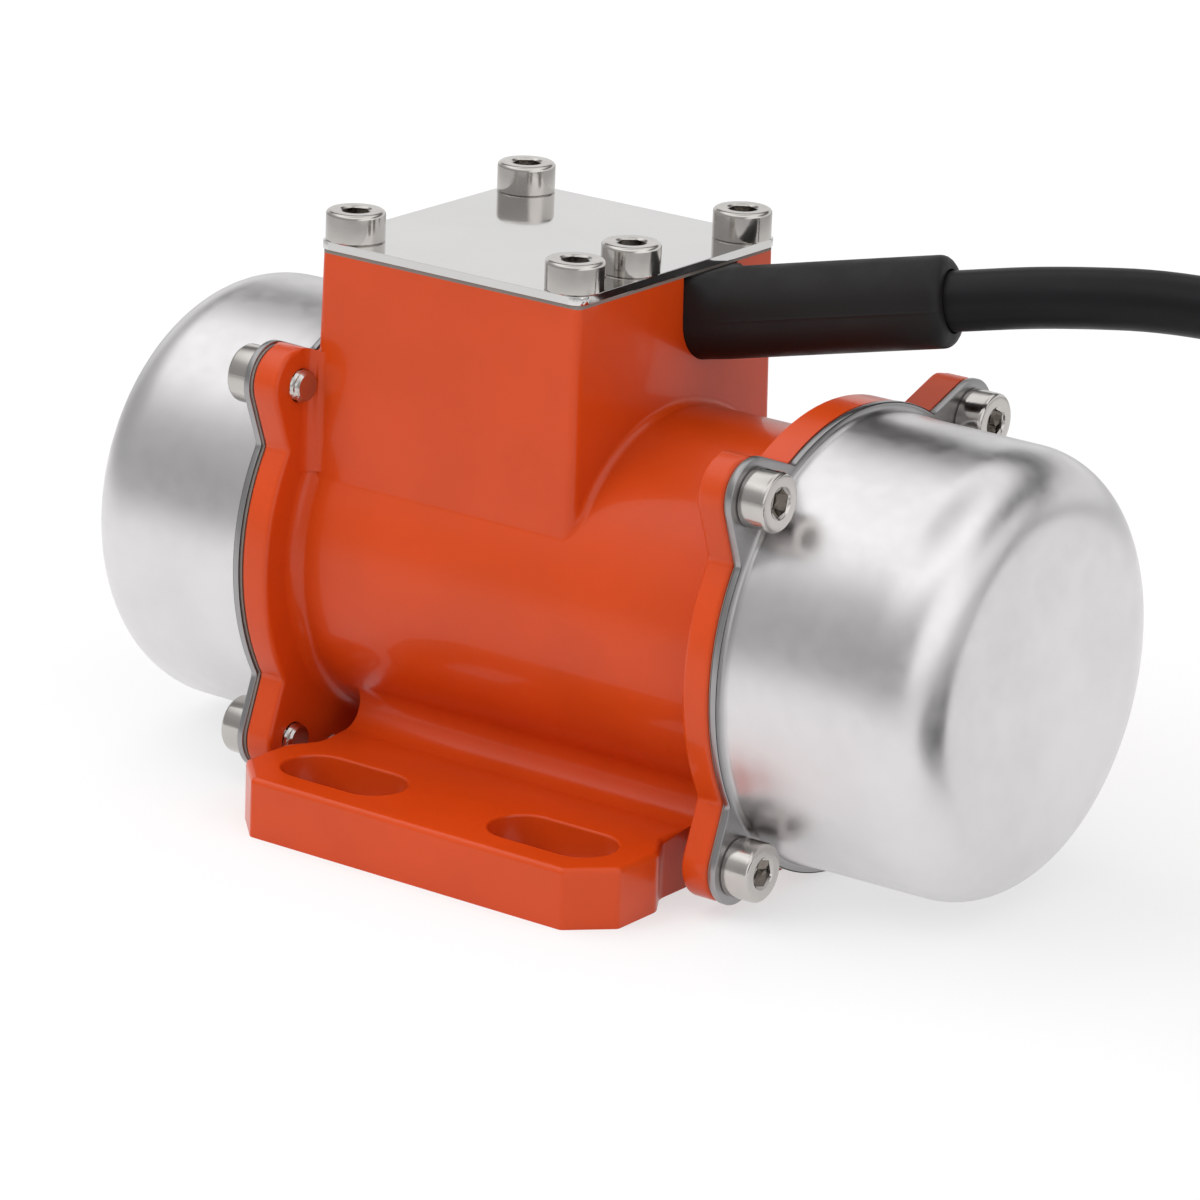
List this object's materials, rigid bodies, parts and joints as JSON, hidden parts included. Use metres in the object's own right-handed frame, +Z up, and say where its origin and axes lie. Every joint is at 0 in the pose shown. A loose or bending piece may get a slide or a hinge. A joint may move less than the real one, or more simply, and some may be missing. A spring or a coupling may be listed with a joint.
{
  "type": "vibration motor",
  "caption": "Foot-mounted vibration motor: cast housing with slotted feet and junction box, drawn steel end caps over adjustable unbalance weights, sleeved supply lead.",
  "frame": {"origin": "centre of the mounting face under the feet", "axes": "+X along the shaft towards the side that the lead leaves, +Y across the feet, +Z up out of the mounting face"},
  "size_m": [0.247, 0.0887, 0.0711],
  "materials": {
    "enamel": "glossy orange enamel on an aluminium casting",
    "cap_steel": "bead-finished drawn stainless steel",
    "lid_steel": "mirror-polished stainless sheet",
    "screw_steel": "polished stainless",
    "gasket": "matt black",
    "sleeve_rubber": "satin black",
    "lead_sheath": "smooth satin black",
    "shield_alloy": "machined",
    "bearing_steel": "ground",
    "shaft_steel": "turned",
    "core_steel": "varnished laminations",
    "weight_steel": "zinc plated, matt",
    "copper": "enamelled copper wire",
    "brass": "plain",
    "capacitor_case": "black",
    "terminal_plastic": "ivory",
    "core_insulation": "brown, blue and green-yellow cores",
    "tie_nylon": "black nylon",
    "ferrule_tin": "tinned"
  },
  "bodies": {
    "root": {"housing": "enamel", "cap_left": "cap_steel", "cap_right": "cap_steel", "cap_gasket_left": "gasket", "cap_gasket_right": "gasket", "cap_screws_left": "screw_steel", "cap_screws_right": "screw_steel", "lid_plate": "lid_steel", "lid_gasket": "gasket", "lid_screws": "screw_steel", "bearing_shield_left": "shield_alloy", "bearing_shield_right": "shield_alloy", "shield_screws_left": "screw_steel", "shield_screws_right": "screw_steel", "outer_ring_left": "bearing_steel", "outer_ring_right": "bearing_steel", "wave_washer": "bearing_steel", "stator_core": "core_steel", "stator_windings": "copper", "run_capacitor": "capacitor_case", "terminal_block": "terminal_plastic", "terminal_screws": "brass", "earth_screw": "brass", "winding_leads": "core_insulation", "supply_cores": "core_insulation", "cable_sleeve": "sleeve_rubber", "cable_lead": "lead_sheath", "cable_coil": "lead_sheath", "cable_tie": "tie_nylon", "tail_cores": "core_insulation", "tail_ferrules": "ferrule_tin"},
    "rotor": {"shaft": "shaft_steel", "rotor_core": "core_steel", "rotor_end_rings": "shield_alloy", "inner_ring_left": "bearing_steel", "inner_ring_right": "bearing_steel", "weight_spacer_left": "shaft_steel", "weight_spacer_right": "shaft_steel", "weight_key_left": "shaft_steel", "weight_key_right": "shaft_steel", "fixed_weight_left": "weight_steel", "fixed_weight_right": "weight_steel", "retaining_ring_left": "shaft_steel", "retaining_ring_right": "shaft_steel"},
    "balls_left": {"ball_set_left": "bearing_steel"},
    "balls_right": {"ball_set_right": "bearing_steel"},
    "weight_left": {"adjustable_weight_left": "weight_steel", "clamp_screw_left": "screw_steel"},
    "weight_right": {"adjustable_weight_right": "weight_steel", "clamp_screw_right": "screw_steel"}
  },
  "joints": [
    {"name": "rotor_spin", "type": "hinge", "parent": "root", "child": "rotor", "pos_m": [0, 0, 0.0275], "axis": [1, 0, 0], "continuous": true},
    {"name": "cage_spin_left", "type": "hinge", "parent": "root", "child": "balls_left", "pos_m": [-0.028, 0, 0.0275], "axis": [1, 0, 0], "continuous": true},
    {"name": "cage_spin_right", "type": "hinge", "parent": "root", "child": "balls_right", "pos_m": [0.028, 0, 0.0275], "axis": [1, 0, 0], "continuous": true},
    {"name": "weight_set_left", "type": "hinge", "parent": "rotor", "child": "weight_left", "pos_m": [-0.04525, 0, 0.0275], "axis": [1, 0, 0], "range_deg": [0, 180]},
    {"name": "weight_set_right", "type": "hinge", "parent": "rotor", "child": "weight_right", "pos_m": [0.04525, 0, 0.0275], "axis": [1, 0, 0], "range_deg": [0, 180]}
  ],
  "couplings": [
    {"joint": "cage_spin_left", "follows": "rotor_spin", "ratio": 0.3667},
    {"joint": "cage_spin_right", "follows": "rotor_spin", "ratio": 0.3667}
  ]
}
